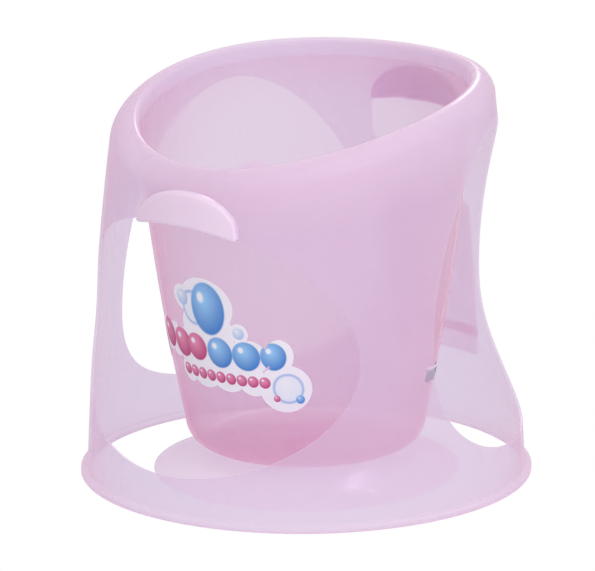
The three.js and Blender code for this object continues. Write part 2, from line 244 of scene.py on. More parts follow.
glint_box = soft_box("back_soft_box", 211, 33, 2.4, 0.24, 0.6, 10)
glint_box.visible_diffuse = False
soft_box("top_soft_box", 40, 70, 2.4, 1.6, 1.0, 10)
soft_box("side_soft_box", 62, 36, 2.6, 1.8, 1.4, 24)


# %% [markdown]
# ## Turned walls
# The stand and the bucket were moulded round, so each starts as one closed outline of the wall,
# spun once round Z. The rim isn't level, though, so after the spin every column of the wall slides
# up or down to its own outline. The spin makes the faces, and the outline function only says how
# high each row of the wall stands.

# %% The lathe and its helpers
def turn_on_lathe(outline_at, rings, closed=True):
    """A bmesh spun from the outline at angle 0, each column then set to its own outline."""
    bm = bmesh.new()
    row = bm.verts.layers.int.new("row")
    verts = []
    for index, (r, z) in enumerate(outline_at(0.0)):
        vert = bm.verts.new(on_tub(r, 0, z))
        vert[row] = index
        verts.append(vert)
    pairs = list(zip(verts, verts[1:]))
    if closed:
        pairs.append((verts[-1], verts[0]))
    edges = [bm.edges.new(pair) for pair in pairs]
    bmesh.ops.spin(
        bm, geom=verts + edges, cent=(0, 0, 0), axis=(0, 0, 1), dvec=(0, 0, 0),
        angle=2 * math.pi, steps=rings, use_merge=True, use_duplicate=False,
    )
    outlines = {}
    for vert in bm.verts:
        angle = angle_of(vert.co)
        column = round(angle / (2 * math.pi) * rings) % rings
        if column not in outlines:
            outlines[column] = outline_at(2 * math.pi * column / rings)
        r, z = outlines[column][vert[row]]
        vert.co = on_tub(r, angle, z)
    bmesh.ops.remove_doubles(bm, verts=bm.verts, dist=0.001 * mm)
    bmesh.ops.recalc_face_normals(bm, faces=bm.faces)
    return bm


# %% Finishing a piece
def new_piece(name, bm, crease=40):
    """An object from a bmesh, smooth but for edges sharper than the crease angle."""
    mesh = bpy.data.meshes.new(name)
    bm.to_mesh(mesh)
    bm.free()
    mesh.shade_smooth()
    mesh.set_sharp_from_angle(angle=crease * DEG)
    piece = bpy.data.objects.new(name, mesh)
    scene.collection.objects.link(piece)
    return piece


def settle(piece, crease=40):
    """Write the piece's modifiers into its mesh."""
    graph = bpy.context.evaluated_depsgraph_get()
    mesh = bpy.data.meshes.new_from_object(piece.evaluated_get(graph))
    piece.modifiers.clear()
    old = piece.data
    piece.data = mesh
    mesh.name = old.name
    bpy.data.meshes.remove(old)
    mesh.shade_smooth()
    mesh.set_sharp_from_angle(angle=crease * DEG)


# %% Joining, cutting and measuring
def combine(piece, tools, operation):
    """Cut tools out of a piece, or join them to it, and throw the tools away."""
    for tool in tools:
        change = piece.modifiers.new(tool.name, "BOOLEAN")
        change.operation = operation
        change.solver = "EXACT"
        change.object = tool
    bpy.context.view_layer.update()
    settle(piece)
    for tool in tools:
        bpy.data.objects.remove(tool)


def report(piece):
    """Print how fine a mesh is and whether it is closed."""
    check = bmesh.new()
    check.from_mesh(piece.data)
    open_edges = sum(1 for e in check.edges if len(e.link_faces) != 2)
    triangles = sum(len(f.verts) - 2 for f in check.faces)
    check.free()
    print(piece.name, "triangles:", triangles, "open edges:", open_edges)


def quarter(steps, start=0):
    """Angles of a quarter turn."""
    return [math.pi / 2 * k / steps for k in range(start, steps + 1)]


# %% [markdown]
# ## The stand
# The stand is the outer skirt: a foot ring with a small lip, a wall that leans in as it rises, and
# a broad shoulder that rolls over into the bucket. The outline runs once round the wall's
# thickness, outside first and then back down the inside.

# %% The stand's outline
def stand_outline(angle):
    """Radius and height of each row of the stand's wall, at an angle."""
    crest = rim_height(angle)
    crest_radius = bucket_radius(crest) - WALL + ROLL_INNER
    shoulder = crest - SHOULDER_DROP
    shoulder_radius = stand_radius(shoulder, angle)
    edge = 1.3 * mm
    points = [(FOOT_RADIUS - WALL + 0.6 * mm, 0), (FOOT_RADIUS - WALL + 2 * mm, 0)]
    for a in quarter(4):
        points.append((BASE_RADIUS - edge + edge * math.sin(a), edge - edge * math.cos(a)))
    for a in quarter(4):
        points.append(
            (BASE_RADIUS - edge + edge * math.cos(a), FLANGE_HEIGHT - edge + edge * math.sin(a)))
    fillet_top = FLANGE_HEIGHT + FOOT_FILLET
    for a in quarter(6, 1):
        r = stand_radius(fillet_top, angle) + FOOT_FILLET * (1 - math.sin(a))
        points.append((r, fillet_top - FOOT_FILLET * math.cos(a)))
    steps = 30
    for k in range(1, steps + 1):
        z = fillet_top + (shoulder - fillet_top) * k / steps
        points.append((stand_radius(z, angle), z))
    for a in quarter(14, 1):
        r = crest_radius + (shoulder_radius - crest_radius) * math.cos(a)
        points.append((r, shoulder + SHOULDER_DROP * math.sin(a)))
    for a in quarter(8, 1):
        points.append(
            (crest_radius - ROLL_INNER * math.sin(a), crest - ROLL_INNER * (1 - math.cos(a))))
    lip = crest - LIP_DEPTH
    points.append((bucket_radius(lip + 6 * mm) - WALL, lip + 6 * mm))
    points.append((bucket_radius(lip) - WALL, lip))
    points.append((bucket_radius(lip), lip))
    points.append((bucket_radius(lip + 6 * mm) + 0.4 * mm, lip + 6 * mm))
    for a in reversed(quarter(10)):
        r = crest_radius + (shoulder_radius - WALL - crest_radius) * math.cos(a)
        points.append((r, shoulder + (SHOULDER_DROP - WALL) * math.sin(a)))
    for k in range(steps - 1, 0, -1):
        z = shoulder * k / steps
        points.append((stand_radius(z, angle) - WALL, z))
    return points


stand = new_piece("stand_wall", turn_on_lathe(stand_outline, RINGS))
report(stand)


# %% [markdown]
# The four openings are cut by loose plugs. Each plug starts as the opening's outline, and is
# extruded out through the wall in steps. It is a little wider at the wall's two faces than in the
# middle, so the cut leaves a rounded edge like the one that a mould leaves, and no bevel is needed
# on the messy edges of a cut.

# %% Plugs for the openings
EDGE_ROUND = 1.3 * mm
FRONT_WINDOW = dict(angle=0, z=161 * mm, rise=129 * mm, drop=119 * mm, half=55 * DEG)
FRONT_WINDOW_POWER = 1.95
SIDE_WINDOW = dict(angle=119.3 * DEG, z=160 * mm, rise=202 * mm, drop=115 * mm, half=42.7 * DEG)


def oval(window, up, down_left, down_right, steps=144):
    """Points of a rounded opening, as angle and height. A higher power makes a squarer corner."""
    points = []
    for k in range(steps):
        a = 2 * math.pi * k / steps
        right = math.cos(a) >= 0
        power = up if math.sin(a) >= 0 else (down_right if right else down_left)
        across = abs(math.cos(a)) ** (2 / power) * (1 if right else -1)
        if math.sin(a) >= 0:
            z = window["z"] + window["rise"] * math.sin(a) ** (2 / power)
        else:
            z = window["z"] - window["drop"] * abs(math.sin(a)) ** (2 / power)
        points.append((window["angle"] + window["half"] * across, z))
    return points


# %% The hand slot's outline
SLOT_HALF = 19.2 * DEG
SLOT_LOW = 292 * mm
SLOT_HIGH = 343.5 * mm


def slot_top(angle):
    """Height of the hand slot's top edge, a shallow arch."""
    return SLOT_HIGH - 6 * mm * ((angle - math.pi) / SLOT_HALF) ** 2


def slot_outline(steps=8):
    """The hand slot behind: wide round corners below, small ones above, and an arched top."""
    half = SLOT_HALF * WAIST_RADIUS
    corners = []
    for side, z, corner, first in (
        (1, SLOT_LOW, 16, -90), (1, SLOT_HIGH, 5, 0), (-1, SLOT_HIGH, 5, 90),
        (-1, SLOT_LOW, 16, 180)):
        inward = 1 if z == SLOT_LOW else -1
        for k in range(steps + 1):
            a = (first + 90 * k / steps) * DEG
            x = side * (half - corner * mm) + corner * mm * math.cos(a)
            corners.append((math.pi + x / WAIST_RADIUS, z + corner * mm * (inward + math.sin(a))))
    points = []
    for (a, z), (b, w) in zip(corners, corners[1:] + corners[:1]):
        parts = max(1, round(abs(b - a) / (2 * DEG)))
        points += [(a + (b - a) * k / parts, z + (w - z) * k / parts) for k in range(parts)]
    middle = (SLOT_LOW + SLOT_HIGH) / 2
    return [(a, z + slot_top(a) - SLOT_HIGH if z > middle else z) for a, z in points]


# %% The plugs, and the cut
PLUG_REACH = 300 * mm


def plug(name, outline, centre):
    """A plug for one opening: its outline in layers through the wall, flared at both faces."""
    round_steps = [15, 30, 45, 60, 75, 90]
    layers = [(-9 * mm, EDGE_ROUND), (-0.3 * mm, EDGE_ROUND)]
    for a in round_steps:
        layers.append((EDGE_ROUND * (1 - math.cos(a * DEG)), EDGE_ROUND * (1 - math.sin(a * DEG))))
    for depth, flare in reversed(layers[1:]):
        layers.append((WALL - depth, flare))
    layers.append((PLUG_REACH, EDGE_ROUND))
    widest = max(abs(a - centre[0]) for a, z in outline) * WAIST_RADIUS
    tallest = max(abs(z - centre[1]) for a, z in outline)
    bm = bmesh.new()
    layer = bm.verts.layers.int.new("layer")
    order = bm.verts.layers.int.new("order")
    loop = []
    for index, (a, z) in enumerate(outline):
        vert = bm.verts.new(on_tub(stand_radius(z, a), a, z))
        vert[order] = index
        loop.append(vert)
    edges = [bm.edges.new(pair) for pair in zip(loop, loop[1:] + loop[:1])]
    first_cap = bmesh.ops.contextual_create(bm, geom=edges)["faces"]
    bmesh.ops.triangulate(bm, faces=first_cap)
    for index in range(1, len(layers)):
        grown = bmesh.ops.extrude_edge_only(bm, edges=edges)["geom"]
        edges = [e for e in grown if isinstance(e, bmesh.types.BMEdge)]
        for vert in {v for e in edges for v in e.verts}:
            vert[layer] = index
    last_cap = bmesh.ops.contextual_create(bm, geom=edges)["faces"]
    bmesh.ops.triangulate(bm, faces=last_cap)
    for vert in bm.verts:
        depth, flare = layers[vert[layer]]
        a, z = outline[vert[order]]
        a = centre[0] + (a - centre[0]) * (1 + flare / widest)
        z = centre[1] + (z - centre[1]) * (1 + flare / tallest)
        vert.co = on_tub(stand_radius(z, a) - WALL + depth, a, z)
    bmesh.ops.recalc_face_normals(bm, faces=bm.faces)
    return new_piece(name, bm)


plugs = [
    plug("front_plug", oval(FRONT_WINDOW, FRONT_WINDOW_POWER, 1.9, 1.9), (0, FRONT_WINDOW["z"])),
    plug("right_plug", oval(SIDE_WINDOW, 1.85, 2.6, 2.0), (SIDE_WINDOW["angle"], SIDE_WINDOW["z"])),
    plug("left_plug", oval({**SIDE_WINDOW, "angle": -SIDE_WINDOW["angle"]}, 1.85, 2.0, 2.6),
         (-SIDE_WINDOW["angle"], SIDE_WINDOW["z"])),
    plug("slot_plug", slot_outline(), (math.pi, 317 * mm)),
]
combine(stand, plugs, "DIFFERENCE")
report(stand)


# %% [markdown]
# ## The bucket
# The bucket is the part that holds the water. Its wall meets the rim's roll just inside the lip,
# and its floor turns up through a wide round corner, with a socket under it for the suction cup.

# %% The bucket's outline
def bucket_outline(angle):
    """Radius and height of each row of the bucket, from the middle of its foot to its floor."""
    crest = rim_height(angle)
    top = crest - LIP_DEPTH - WELD_GAP
    corner_z = BUCKET_BASE + BUCKET_CORNER
    flat = BUCKET_FOOT_RADIUS - BUCKET_CORNER
    socket_in = 18.3 * mm
    socket_out = 22.3 * mm
    socket_z = 21.3 * mm
    points = [(0, BUCKET_BASE), (socket_in, BUCKET_BASE), (socket_in, socket_z)]
    points += [(socket_out, socket_z), (socket_out, BUCKET_BASE), (flat * 0.6, BUCKET_BASE)]
    for a in quarter(12):
        points.append((flat + BUCKET_CORNER * math.sin(a), corner_z - BUCKET_CORNER * math.cos(a)))
    steps = 30
    for k in range(1, steps + 1):
        z = corner_z + (top - corner_z) * k / steps
        points.append((bucket_radius(z), z))
    for k in range(steps, 0, -1):
        z = corner_z + (top - corner_z) * k / steps
        points.append((bucket_radius(z) - WALL, z))
    floor_z = BUCKET_BASE + BUCKET_FLOOR
    for a in reversed(quarter(12)):
        r = flat + (BUCKET_CORNER - WALL) * math.sin(a)
        points.append((r, corner_z - (corner_z - floor_z) * math.cos(a)))
    points.append((0, floor_z))
    return points


bucket = new_piece("bucket_wall", turn_on_lathe(bucket_outline, RINGS, closed=False))
report(bucket)


# %% [markdown]
# ## The suction cup
# A wide, shallow dish of clear soft vinyl holds the tub down. It is turned like the walls, with a
# thin lip that lies flat on the floor and a stud in the middle that plugs into the bucket.

# %% The suction cup
CUP_RADIUS = 152 * mm
CUP_THICK = 3.6 * mm
CUP_TOP = 21 * mm
STUD_RADIUS = 18 * mm


def cup_outline(angle):
    """Radius and height of each row of the cup, the same at every angle."""
    def rise(r):
        """Height of the dish's top side."""
        t = min(1, max(0, (r - STUD_RADIUS) / (CUP_RADIUS - STUD_RADIUS)))
        return CUP_TOP - (CUP_TOP - CUP_THICK) * t ** 2.4

    stud_top = BUCKET_BASE - 0.3 * mm
    points = [
        (0, stud_top), (STUD_RADIUS - 1 * mm, stud_top), (STUD_RADIUS, stud_top - 1 * mm),
        (STUD_RADIUS, CUP_TOP)]
    steps = 30
    outer = CUP_RADIUS - 1.5 * mm
    for k in range(1, steps + 1):
        r = STUD_RADIUS + (outer - STUD_RADIUS) * k / steps
        points.append((r, rise(r)))
    for k in range(1, 8):
        a = math.pi * k / 8
        points.append(
            (
                outer + 1.5 * mm * math.sin(a),
                0.3 * mm + (CUP_THICK - 0.3 * mm) * (0.5 + 0.5 * math.cos(a))))
    points.append((CUP_RADIUS - 5 * mm, 0.3 * mm))
    for k in range(steps - 1, 0, -1):
        r = STUD_RADIUS + (outer - 6 * mm - STUD_RADIUS) * k / steps
        points.append((r, rise(r) - CUP_THICK))
    points.append((0, CUP_TOP - CUP_THICK))
    return points


cup = new_piece("suction_cup_dish", turn_on_lathe(cup_outline, 160, closed=False))
report(cup)


# %% [markdown]
# ## The grips
# Each grip is a half-moon pad over the edge of an opening, so that a hand doesn't meet bare
# plastic, with a thin lip that turns in under that edge. It is a grid laid on the wall: its rows
# follow the opening's edge below and an arch above, close together near the border, where the
# pad's edge rolls over.

# %% Pads and lips
GRIP_REACH = 59 * mm
GRIP_HEIGHT = 40 * mm
GRIP_TIP = 3 * mm
GRIP_THICK = 8 * mm
GRIP_ROLL = 4 * mm


def front_edge(angle):
    """Height of the front window's top edge."""
    s = min(1, abs(angle) / FRONT_WINDOW["half"])
    return FRONT_WINDOW["z"] + FRONT_WINDOW["rise"] * (
        1 - s ** FRONT_WINDOW_POWER) ** (1 / FRONT_WINDOW_POWER)


# %% A flat box to bend
def doubled_grid(columns, rows):
    """Two grids joined round their border: a flat box, and the set of its outer points."""
    bm = bmesh.new()
    bmesh.ops.create_grid(bm, x_segments=columns, y_segments=rows, size=1)
    grown = bmesh.ops.extrude_face_region(bm, geom=list(bm.faces), use_keep_orig=True)["geom"]
    return bm, {v for v in grown if isinstance(v, bmesh.types.BMVert)}


# %% One grip
def grip(name, centre, seat, lean, edge_height):
    """A pad with a rolled border, and its lip under the wall's edge."""
    half = GRIP_REACH / stand_radius(seat, centre)

    def low(x):
        """Height of the pad's lower edge."""
        return edge_height(centre + x * half) - 1.6 * mm + lean * x

    def high(x):
        """Height of the pad's arch."""
        return seat + GRIP_TIP + (GRIP_HEIGHT - GRIP_TIP) * math.sqrt(max(0, 1 - abs(x) ** 2.1))

    bm, front = doubled_grid(56, 24)
    for vert in bm.verts:
        x = math.sin(vert.co.x * math.pi / 2)
        t = math.sin(vert.co.y * math.pi / 2)
        from_tip = GRIP_REACH * (1 - abs(x))
        pinch = 1.0 if from_tip >= GRIP_ROLL else math.sqrt(
            max(0, 1 - (1 - from_tip / GRIP_ROLL) ** 2))
        middle = (low(x) + high(x)) / 2
        reach = (high(x) - low(x)) / 2 * pinch
        z = middle + reach * t
        angle = centre + x * half
        depth = 0.3 * mm
        if vert in front:
            s = min(1, reach * (1 - abs(t)) / GRIP_ROLL, from_tip / GRIP_ROLL)
            depth += (GRIP_THICK - GRIP_ROLL) + GRIP_ROLL * math.sqrt(1 - (1 - s) ** 2)
        vert.co = on_tub(stand_radius(z, angle) + depth, angle, z)
    bmesh.ops.remove_doubles(bm, verts=bm.verts, dist=0.01 * mm)
    bmesh.ops.dissolve_degenerate(bm, edges=bm.edges, dist=0.005 * mm)
    bmesh.ops.recalc_face_normals(bm, faces=bm.faces)
    pad = new_piece(name, bm)

    bm, outside = doubled_grid(24, 1)
    for vert in bm.verts:
        angle = centre + (0.525 * vert.co.x - 0.225) * half
        z = edge_height(angle) - (0.9 if vert.co.y > 0 else 2.5) * mm
        r = stand_radius(z, angle) + (2 * mm if vert in outside else -WALL - 1 * mm)
        vert.co = on_tub(r, angle, z)
    bmesh.ops.recalc_face_normals(bm, faces=bm.faces)
    combine(pad, [new_piece("lip", bm)], "UNION")
    return pad


# %% The two grips
front_grip = grip("front_grip_pad", 4.9 * DEG, 282 * mm, 1.5 * mm, front_edge)
rear_grip = grip("rear_grip_pad", 182 * DEG, 336.8 * mm, 0, slot_top)
report(front_grip)
report(rear_grip)


# %% [markdown]
# ## Stickers
# The stickers are thin printed film on the bucket. One is die-cut round its print, so its outline
# is a row of lobes. It is easiest to lay it out flat, as discs joined into one shape, then slice
# it into narrow strips and wrap it round the bucket.

# %% Films wrapped on a wall
FILM_LIFT = 0.3 * mm
FILM_THICK = 0.35 * mm


def flat_discs(name, discs):
    """Joined flat discs, each with its centre, its two half sizes and its turn."""
    blanks = []
    for index, (x, y, half_x, half_y, tilt) in enumerate(discs):
        bm = bmesh.new()
        bmesh.ops.create_circle(bm, cap_ends=True, radius=1 * mm, segments=72)
        bmesh.ops.scale(bm, verts=bm.verts, vec=(half_x, half_y, 1))
        bmesh.ops.rotate(
            bm, verts=bm.verts, cent=(0, 0, 0), matrix=Matrix.Rotation(tilt * DEG, 3, "Z"))
        top = bmesh.ops.extrude_face_region(bm, geom=list(bm.faces), use_keep_orig=True)["geom"]
        rising = [v for v in top if isinstance(v, bmesh.types.BMVert)]
        bmesh.ops.translate(bm, verts=rising, vec=(0, 0, FILM_THICK))
        bmesh.ops.translate(bm, verts=bm.verts, vec=(x * mm, y * mm, 0))
        bmesh.ops.recalc_face_normals(bm, faces=bm.faces)
        blanks.append(new_piece(f"{name}_{index}", bm))
    if len(blanks) > 1:
        combine(blanks[0], blanks[1:], "UNION")
    return blanks[0]


# %% Slicing and wrapping a film
def wrap_film(name, flat, centre, z, radius_at, reference):
    """Slice a flat film into strips and lay it on a round wall."""
    bm = bmesh.new()
    bm.from_mesh(flat.data)
    bpy.data.objects.remove(flat)
    reach_x = max(abs(v.co.x) for v in bm.verts)
    reach_y = max(abs(v.co.y) for v in bm.verts)
    step = 5 * mm
    for axis, reach in ((0, reach_x), (1, reach_y)):
        for k in range(-int(reach / step), int(reach / step) + 1):
            spot = [0, 0, 0]
            spot[axis] = k * step
            normal = [0, 0, 0]
            normal[axis] = 1
            everything = list(bm.verts) + list(bm.edges) + list(bm.faces)
            bmesh.ops.bisect_plane(
                bm, geom=everything, dist=0.001 * mm, plane_co=spot, plane_no=normal)
    print_map = bm.loops.layers.uv.new("print")
    for face in bm.faces:
        for corner in face.loops:
            corner[print_map].uv = (corner.vert.co.x * 10, corner.vert.co.y * 10)
    for vert in bm.verts:
        height = z + vert.co.y
        angle = centre + vert.co.x / reference
        lift = FILM_LIFT + vert.co.z
        vert.co = on_tub(radius_at(height, angle) + lift, angle, height)
    bmesh.ops.recalc_face_normals(bm, faces=bm.faces)
    return new_piece(name, bm)


def on_bucket(z, angle):
    """Outside of the bucket, for a film that follows it."""
    return bucket_radius(z)


# %% The die-cut film and the round film
# Lobes of the die-cut film, in millimetres: centre across and up, half sizes and turn.
STICKER_LOBES = [
    (-4, 43, 32, 28, 0), (-34, 46, 14, 13, 0), (-6, 16, 33, 30, 0), (32, 19, 10, 10, 0),
    (72, -1, 14, 17, 0), (40, -5, 22, 18, 0), (8, -6, 24, 20, 0), (
        -30, -6, 28, 21, 0), (-60, -3, 17, 18, 0),
    (-80, -2, 17, 17, 0), (-104, -12, 17, 16, 0), (-124, -22, 17, 16, 0), (-40, -30, 13, 13, 0),
    (-15, -30, 20, 14, 0), (15, -30, 20, 14, 0), (45, -31, 18, 14, 0), (77, -35, 27, 25, 0),
]
STICKER_HEIGHT = 153 * mm
STICKER_REFERENCE = 138 * mm
SEAL_HALF = 29
SEAL_HEIGHT = 250 * mm
front_sticker = wrap_film(
    "front_bubble_film", flat_discs("lobe", STICKER_LOBES), 0, STICKER_HEIGHT, on_bucket,
    STICKER_REFERENCE)
seal = wrap_film(
    "round_side_film", flat_discs(
        "disc", [(0, 0, SEAL_HALF, SEAL_HALF, 0)]), -121 * DEG, SEAL_HEIGHT, on_bucket,
    bucket_radius(SEAL_HEIGHT))
for film in (front_sticker, seal):
    report(film)


# %% The strip and the instruction label
def flat_blank(name, half_x, half_y, corner):
    """A flat rectangle of film with rounded corners."""
    bm = bmesh.new()
    bmesh.ops.create_grid(bm, x_segments=1, y_segments=1, size=1)
    bmesh.ops.scale(bm, verts=bm.verts, vec=(half_x, half_y, 1))
    bmesh.ops.bevel(
        bm, geom=list(bm.verts), offset=corner, segments=6, profile=0.5, affect="VERTICES",
        material=-1)
    raised = bmesh.ops.extrude_face_region(bm, geom=list(bm.faces), use_keep_orig=True)["geom"]
    rising = [v for v in raised if isinstance(v, bmesh.types.BMVert)]
    bmesh.ops.translate(bm, verts=rising, vec=(0, 0, FILM_THICK))
    bmesh.ops.recalc_face_normals(bm, faces=bm.faces)
    return new_piece(name, bm)


STRIP_SLOPE = 0.15
strip_blank = flat_blank("strip_blank", 35 * mm, 7.5 * mm, 1.5 * mm)
slope = Matrix.Identity(4)
slope[1][0] = -STRIP_SLOPE
strip_blank.data.transform(slope)
STRIP_HEIGHT = 104 * mm
strip = wrap_film(
    "side_strip_film", strip_blank, 121 * DEG, STRIP_HEIGHT, on_bucket, bucket_radius(STRIP_HEIGHT))
label_blank = flat_blank("label_blank", 15 * DEG * WAIST_RADIUS, 80.5 * mm, 6 * mm)
label = wrap_film("instruction_film", label_blank, math.pi, 160.5 * mm, stand_radius, WAIST_RADIUS)
report(strip)
report(label)


# %% [markdown]
# ## Shared surface effects
# Some effects come back in several plastics: soft clouds of colour from the melt's flow, a very
# fine grain, small scuffs low down where the tub is set on tiles, and more haze near the rim. They
# are node groups that put out plain values, so each material mixes its own finish from them.

# %% Node helpers
def add_node(tree, kind, inputs=None, **settings):
    """One node, with its settings and its unlinked or linked inputs."""
    node = tree.nodes.new(kind)
    for key, value in settings.items():
        setattr(node, key, value)
    for key, value in (inputs or {}).items():
        if isinstance(value, bpy.types.NodeSocket):
            tree.links.new(value, node.inputs[key])
        else:
            node.inputs[key].default_value = value
    return node


def maths(tree, operation, a, b=0.0, clamp=False):
    """A Math node's result."""
    return add_node(
        tree, "ShaderNodeMath", {0: a, 1: b}, operation=operation, use_clamp=clamp).outputs[0]


def fit_range(tree, value, from_low, from_high, to_low, to_high):
    """A Map Range node's result, held inside its new range."""
    inputs = {
        "Value": value, "From Min": from_low, "From Max": from_high, "To Min": to_low,
        "To Max": to_high}
    return add_node(tree, "ShaderNodeMapRange", inputs, clamp=True).outputs[0]


def mix_colour(tree, share, first, second, blend="MIX"):
    """A colour mix's result. Colours are four numbers or sockets."""
    node = add_node(tree, "ShaderNodeMix", data_type="RGBA", blend_type=blend, clamp_factor=True)
    for key, value in ((0, share), (6, first), (7, second)):
        if isinstance(value, bpy.types.NodeSocket):
            tree.links.new(value, node.inputs[key])
        else:
            node.inputs[key].default_value = value
    return node.outputs[2]


def new_group(name, numbers, outputs):
    """An empty shader group with number inputs, a Position input and value outputs."""
    group = bpy.data.node_groups.new(name, "ShaderNodeTree")
    group.interface.new_socket("Position", in_out="INPUT", socket_type="NodeSocketVector")
    for title, value in numbers.items():
        socket = group.interface.new_socket(title, in_out="INPUT", socket_type="NodeSocketFloat")
        socket.default_value = value
    for title in outputs:
        group.interface.new_socket(title, in_out="OUTPUT", socket_type="NodeSocketFloat")
    entry = group.nodes.new("NodeGroupInput")
    leave = group.nodes.new("NodeGroupOutput")
    return group, entry, leave


# %% Groups: melt flow, fine grain and scuffs
melt_flow, entry, leave = new_group("melt_flow", {"Scale": 9.0}, ["Cloud", "Streak"])
stretch = add_node(
    melt_flow, "ShaderNodeVectorMath", {0: entry.outputs["Position"], 1: (1, 1, 0.35)},
    operation="MULTIPLY")
cloud = add_node(melt_flow, "ShaderNodeTexNoise", {
    "Vector": stretch.outputs[0], "Scale": entry.outputs["Scale"],
    "Detail": 3.0, "Roughness": 0.5})
streak_scale = maths(melt_flow, "MULTIPLY", entry.outputs["Scale"], 3.2)
streak = add_node(melt_flow, "ShaderNodeTexNoise", {
    "Vector": stretch.outputs[0], "Scale": streak_scale,
    "Detail": 4.0, "Roughness": 0.6, "Distortion": 0.8})
melt_flow.links.new(fit_range(melt_flow, cloud.outputs[0], 0.3, 0.7, 0, 1), leave.inputs["Cloud"])
melt_flow.links.new(fit_range(melt_flow, streak.outputs[0], 0.3, 0.7, 0, 1), leave.inputs["Streak"])

fine_grain, entry, leave = new_group("fine_grain", {"Scale": 900.0}, ["Grain"])
specks = add_node(fine_grain, "ShaderNodeTexNoise", {
    "Vector": entry.outputs["Position"], "Scale": entry.outputs["Scale"], "Detail": 2.0})
ripple = add_node(
    fine_grain, "ShaderNodeTexNoise",
    {"Vector": entry.outputs["Position"], "Scale": 26.0, "Detail": 1.0})
weighted = maths(fine_grain, "MULTIPLY", ripple.outputs[0], 3.0)
fine_grain.links.new(maths(fine_grain, "ADD", specks.outputs[0], weighted), leave.inputs["Grain"])

scuffs, entry, leave = new_group("scuffs", {"Height": 0.03, "Amount": 0.5}, ["Scuff"])
scratch_place = add_node(
    scuffs, "ShaderNodeVectorMath", {0: entry.outputs["Position"], 1: (1, 1, 7)},
    operation="MULTIPLY")
scratches = add_node(
    scuffs, "ShaderNodeTexNoise",
    {"Vector": scratch_place.outputs[0], "Scale": 60.0, "Detail": 5.0, "Roughness": 0.7})
rough_spots = fit_range(scuffs, scratches.outputs[0], 0.6, 0.85, 0, 1)
place = add_node(scuffs, "ShaderNodeSeparateXYZ", {0: entry.outputs["Position"]})
low_down = fit_range(scuffs, place.outputs[2], 0, entry.outputs["Height"], 1, 0)
spots = maths(scuffs, "MULTIPLY", rough_spots, low_down)
scuffs.links.new(
    maths(scuffs, "MULTIPLY", spots, entry.outputs["Amount"], clamp=True), leave.inputs["Scuff"])

# %% Group: nearness to the rim
# The rim's crest isn't level, so the group works out its height at each point's own angle, and
# says how close below it the point is: 1 at the crest, 0 well down the wall.
rim_nearness, entry, leave = new_group("rim_nearness", {"Reach": 0.06}, ["Near"])
place = add_node(rim_nearness, "ShaderNodeSeparateXYZ", {0: entry.outputs["Position"]})


def rim_sum(operation, a, b=0.0):
    """A Math node in the rim's group."""
    return maths(rim_nearness, operation, a, b)


squares = [rim_sum("POWER", place.outputs[axis], 2.0) for axis in (0, 1)]
across = rim_sum("SQRT", rim_sum("ADD", squares[0], squares[1]))
cosine = rim_sum("DIVIDE", rim_sum("MULTIPLY", place.outputs[1], -1.0), across)
saddle = rim_sum("MULTIPLY", rim_sum("MULTIPLY", cosine, cosine), 2 * RIM_SADDLE)
lowered = rim_sum("ADD", rim_sum("MULTIPLY", cosine, RIM_TILT), saddle)
crest = rim_sum("SUBTRACT", RIM_HEIGHT + RIM_SADDLE, lowered)
below = rim_sum("SUBTRACT", crest, place.outputs[2])
near = add_node(rim_nearness, "ShaderNodeMapRange", {
    "Value": below, "From Min": 0.012, "From Max": entry.outputs["Reach"],
    "To Min": 1.0, "To Max": 0.0},
    interpolation_type="SMOOTHSTEP")
rim_nearness.links.new(near.outputs[0], leave.inputs["Near"])
print("groups:", [g.name for g in bpy.data.node_groups])


# %% [markdown]
# ## Clear plastic
# A clear wall does three things to light. Some goes straight through and takes on the pink of the
# plastic. Some is scattered by the haze inside, more of it where the wall is seen edge-on and the
# way through is longer, and near the rim. And some is mirrored at the surface. So the material is
# a mix of a Transparent shader for the first and a Principled with a Translucent shader for the
# other two, with Layer Weight as the share. A face seen from inside the wall mirrors nothing, so
# Backfacing leaves only the Translucent there, and with less haze.

# %% Placing effects in a material
def group_node(tree, group, place, **numbers):
    """A group placed in a material."""
    node = tree.nodes.new("ShaderNodeGroup")
    node.node_tree = group
    tree.links.new(place, node.inputs["Position"])
    for key, value in numbers.items():
        node.inputs[key.capitalize()].default_value = value
    return node


def blank_material(name):
    """A material with only its output and the place on the object."""
    material = bpy.data.materials.new(name)
    material.use_nodes = True
    tree = material.node_tree
    tree.nodes.clear()
    output = tree.nodes.new("ShaderNodeOutputMaterial")
    place = tree.nodes.new("ShaderNodeTexCoord").outputs["Object"]
    return material, tree, output, place


# %% The clear material
SHADOW_SHARE = 0.35


